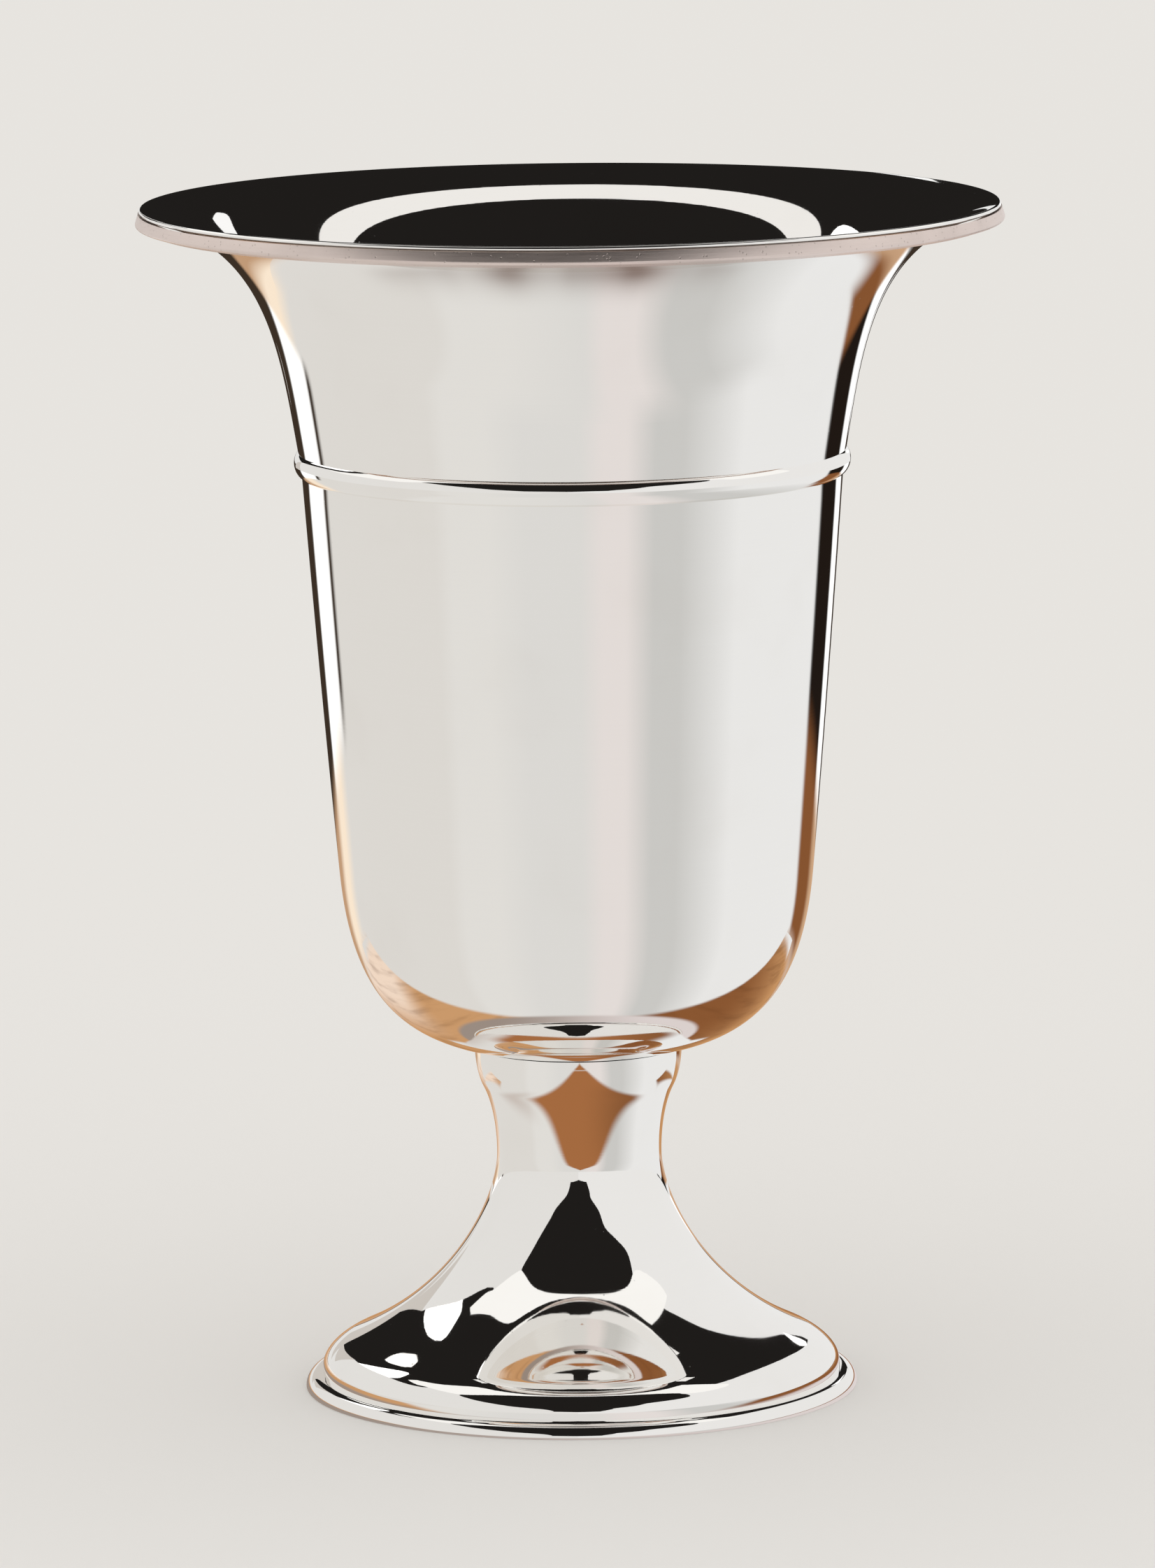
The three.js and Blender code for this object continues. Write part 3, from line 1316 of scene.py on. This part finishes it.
@dataclass(frozen=True)
class SkyCard:
    """Upright card that the foot and the bead mirror, given in degrees as the foot sees it.

    Each station holds the degrees round from the camera, to the right, and the heights in degrees
    of the card's lower and upper edges. The foot sees them from start metres out and eye metres up.
    """

    name: str
    glow: Colour
    stations: tuple[Triple, ...]
    reach: float = 0.6
    strength: float = 1.0
    start: float = 0.04
    eye: float = 0.02

    def point(self, turn: float, rise: float) -> Vector:
        """Returns the point that the foot sees at a turn and a rise, both in degrees."""
        turn, rise = math.radians(turn), math.radians(rise)
        along = self.start + self.reach * math.cos(rise)
        height = self.eye + self.reach * math.sin(rise)
        return Vector((along * math.sin(turn), -along * math.cos(turn), height))

    def build(self) -> None:
        """Makes the card, bridged between its lower and its upper edge."""
        stations = eased(self.stations)
        lower = [self.point(turn, low) for turn, low, _ in stations]
        upper = [self.point(turn, high) for turn, _, high in stations]
        CardGlow(self.name).light(bridged(lower, upper), self.glow, self.strength)


@dataclass(frozen=True)
class RoofCard:
    """Level card overhead, seen only in the polish."""

    name: str
    glow: Colour
    left: float
    right: float
    front: float
    back: float
    height: float

    def build(self) -> None:
        """Makes the card."""
        shape = bmesh.new()
        bmesh.ops.create_grid(shape, x_segments=1, y_segments=1, size=0.5)
        extent = (self.right - self.left, self.back - self.front, 1.0)
        bmesh.ops.scale(shape, verts=shape.verts, vec=extent)
        centre = ((self.right + self.left) / 2, (self.back + self.front) / 2, self.height)
        bmesh.ops.translate(shape, verts=shape.verts, vec=centre)
        CardGlow(self.name).light(shape, self.glow)


@dataclass(frozen=True)
class HaloCard:
    """Level card that the polish mirrors only from below.

    Each station holds the degrees round from the camera, to the right, and the radii of the
    card's edges.
    """

    name: str
    stations: tuple[Triple, ...]
    height: float = 0.3
    glow: Colour = (1.0, 0.99, 0.97)

    def build(self) -> None:
        """Makes the card."""
        rows = ([], [])
        for turn, *radii in eased(self.stations):
            for row, radius in zip(rows, radii):
                aim = Matrix.Rotation(math.radians(turn) - QUARTER_TURN, 4, "Z")
                row.append(aim @ at(radius, self.height))
        shape = bridged(*rows)
        turn_up(shape)
        glow = CardGlow(self.name)
        glow.light(shape, self.glow, share=glow.seen_from_below())


@dataclass(frozen=True)
class StudioAir:
    """The soft light all round, the pale backdrop, and the dimness that the polish mirrors."""

    backdrop: Colour = (0.78, 0.765, 0.74)
    fill: Colour = (1.0, 0.99, 0.975)
    dim: Colour = (0.014, 0.0125, 0.0115)

    def build(self) -> None:
        """Sets the world."""
        world = bpy.data.worlds.new("studio_air")
        bpy.context.scene.world = world
        web = NodeWeb(world)
        path = web.node("ShaderNodeLightPath")
        lit = web.blend(web.signal(path, "Is Glossy Ray"), self.fill, self.dim)
        shown = web.blend(web.signal(path, "Is Camera Ray"), lit, self.backdrop)
        air = web.node("ShaderNodeBackground", sockets={"Color": shown, "Strength": 1.0})
        web.finish(air, "ShaderNodeOutputWorld")


SKY_CARDS = (
    SkyCard(
        "left_panel",
        LEFT_PALE,
        (
            (-148.2, 9.0, 23.7), (-127.3, 9.0, 38.9), (-102.0, 9.0, 48.8), (-100.0, 9.0, 61.5),
            (-77.0, 9.0, 61.5), (-75.0, 9.0, 53.0), (-60.0, 9.0, 46.0), (-40.0, 9.0, 35.5),
            (-32.0, 9.0, 30.0), (-17.0, 9.0, 22.0), (-12.0, 9.0, 12.0),
        ),
    ),
    SkyCard("left_low", LEFT_DIM, ((-160.5, 8.8, 10.0), (-156.0, 9.0, 14.8), (-148.2, 9.0, 23.7))),
    SkyCard(
        "left_far",
        LEFT_PALE,
        ((-170.0, -0.7, -0.2), (-160.0, -0.7, 10.0), (-10.0, -0.7, 10.0), (-8.0, -0.7, -0.3)),
        reach=2.4,
    ),
    SkyCard(
        "right_far",
        RIGHT_PALE,
        ((5.0, -0.7, -0.3), (8.0, -0.7, 10.0), (166.0, -0.7, 10.0), (178.0, -0.7, -0.3)),
        reach=2.4,
    ),
    SkyCard(
        "left_window",
        WHITE,
        (
            (-148.4, 23.3, 24.5), (-146.0, 25.0, 32.0), (-142.3, 27.7, 45.0), (-129.3, 37.2, 44.0),
            (-127.3, 38.7, 39.4),
        ),
        reach=1.5,
        strength=1.6,
    ),
    SkyCard(
        "left_glint",
        (1.0, 0.98, 0.95),
        (
            (-161.5, 26.5, 27.0), (-158.0, 29.5, 32.5), (-155.0, 32.4, 37.0), (-151.5, 35.8, 42.6),
            (-149.0, 40.8, 41.6),
        ),
        strength=1.2,
    ),
    SkyCard(
        "right_panel",
        RIGHT_PALE,
        (
            (8.0, 9.0, 10.0), (9.0, 9.0, 12.0), (13.0, 9.0, 20.0), (15.0, 9.0, 25.0),
            (25.0, 9.0, 32.0), (32.0, 9.0, 40.0), (45.0, 9.0, 44.0), (59.0, 9.0, 48.0),
            (66.0, 9.0, 56.0), (70.0, 9.0, 61.5), (100.0, 9.0, 60.0), (115.0, 9.0, 56.5),
            (127.3, 9.0, 52.0), (135.0, 9.0, 47.5), (142.5, 9.0, 41.2), (150.0, 9.0, 32.5),
            (157.8, 9.0, 20.2), (166.0, 9.0, 10.0),
        ),
    ),
    SkyCard(
        "back_window",
        WHITE,
        ((175.7, 36.5, 39.5), (173.5, 34.5, 41.3), (171.0, 33.5, 41.0), (167.5, 34.5, 38.0)),
        reach=0.7,
    ),
    HaloCard(
        "right_flank",
        (
            (153.1, 0.074, 0.078), (154.5, 0.074, 0.0985), (155.3, 0.074, 0.113),
            (157.0, 0.075, 0.134), (159.2, 0.076, 0.157), (161.7, 0.078, 0.175),
            (164.4, 0.080, 0.218), (168.0, 0.090, 0.315), (173.0, 0.100, 0.350),
        ),
        height=0.06,
        glow=(0.86, 0.85, 0.84),
    ),
    SkyCard(
        "right_glint",
        WHITE,
        ((157.4, 20.0, 21.0), (159.2, 18.5, 23.0), (161.7, 16.5, 20.2), (165.0, 13.5, 15.3)),
        reach=0.58,
        strength=1.3,
    ),
    RoofCard(
        "roof_bar", (0.90, 0.885, 0.865), left=-0.165, right=0.175, front=0.121, back=0.193, height=0.45
    ),
    HaloCard(
        "halo",
        (
            (-118.0, 0.262, 0.290), (-106.0, 0.200, 0.280), (-98.0, 0.140, 0.262),
            (-75.0, 0.122, 0.250), (-70.0, 0.120, 0.235), (-60.0, 0.117, 0.172),
            (-45.0, 0.113, 0.138), (-25.0, 0.108, 0.120), (0.0, 0.106, 0.113),
            (25.0, 0.107, 0.119), (45.0, 0.112, 0.136), (60.0, 0.117, 0.172), (68.0, 0.120, 0.235),
            (90.0, 0.126, 0.250), (99.0, 0.132, 0.235),
        ),
    ),
    HaloCard(
        "left_flank",
        (
            (-172.0, 0.335, 0.350), (-169.0, 0.250, 0.350), (-167.4, 0.175, 0.350),
            (-164.4, 0.132, 0.350), (-160.5, 0.110, 0.350), (-156.0, 0.104, 0.350),
            (-152.0, 0.092, 0.350), (-148.0, 0.080, 0.350),
        ),
        height=0.0385,
        glow=LEFT_DIM,
    ),
    StemVeil("stem_veil", height=0.04, inner=0.028, outer=0.2, start=-136.0, end=136.0),
    FlareVeil(
        "bead_veil", height=0.186, inner=0.0555, outer=0.075, start=-110.0, end=110.0, patches=()
    ),
    FlareVeil("flare_veil", height=0.212, inner=0.0575, outer=0.15, start=-96.0, end=104.0),
)


@dataclass(frozen=True)
class StudioCamera:
    """A long lens a little above the rim, turned as the cup is seen."""

    place: Triple = (0.0, -2.2178, 0.4672)
    pitch: float = 0.151489
    yaw: float = 0.000176
    roll: float = -0.010054
    lens: float = 244.3
    film: float = 36.0

    def build(self) -> None:
        """Makes the camera, aims it and sets it as the scene's own."""
        data = bpy.data.cameras.new("studio_camera")
        data.lens = self.lens
        data.sensor_width = self.film
        data.sensor_fit = "AUTO"
        camera = bpy.data.objects.new("studio_camera", data)
        bpy.context.scene.collection.objects.link(camera)
        aim = Matrix.Rotation(-self.yaw, 4, "Z") @ Matrix.Rotation(QUARTER_TURN - self.pitch, 4, "X")
        lean = Matrix.Rotation(self.roll, 4, "Z")
        camera.matrix_world = Matrix.Translation(self.place) @ aim @ lean
        bpy.context.scene.camera = camera


def set_studio() -> None:
    """Sets the camera, the floor, the cards and the light."""
    StudioCamera().build()
    StudioAir().build()
    StudioFloor().build()
    FloorCard().build()
    for card in SKY_CARDS:
        card.build()
    bpy.context.scene.view_settings.view_transform = "Standard"


def main() -> None:
    """Builds the cup piece by piece, dresses it and sets the studio."""
    set_studio()
    finishes = {finish.name: finish.material() for finish in (PolishedSilver(), SatinSilver())}
    for part in (FootWire(), Pedestal(), Bowl(), Bead(), RimBand()):
        piece = part.build()
        part.dress(piece, finishes)
        log.info("%s: %d faces", piece.name, len(piece.data.polygons))


if __name__ == "__main__":
    logging.basicConfig(level=logging.INFO, format="%(message)s")
    main()
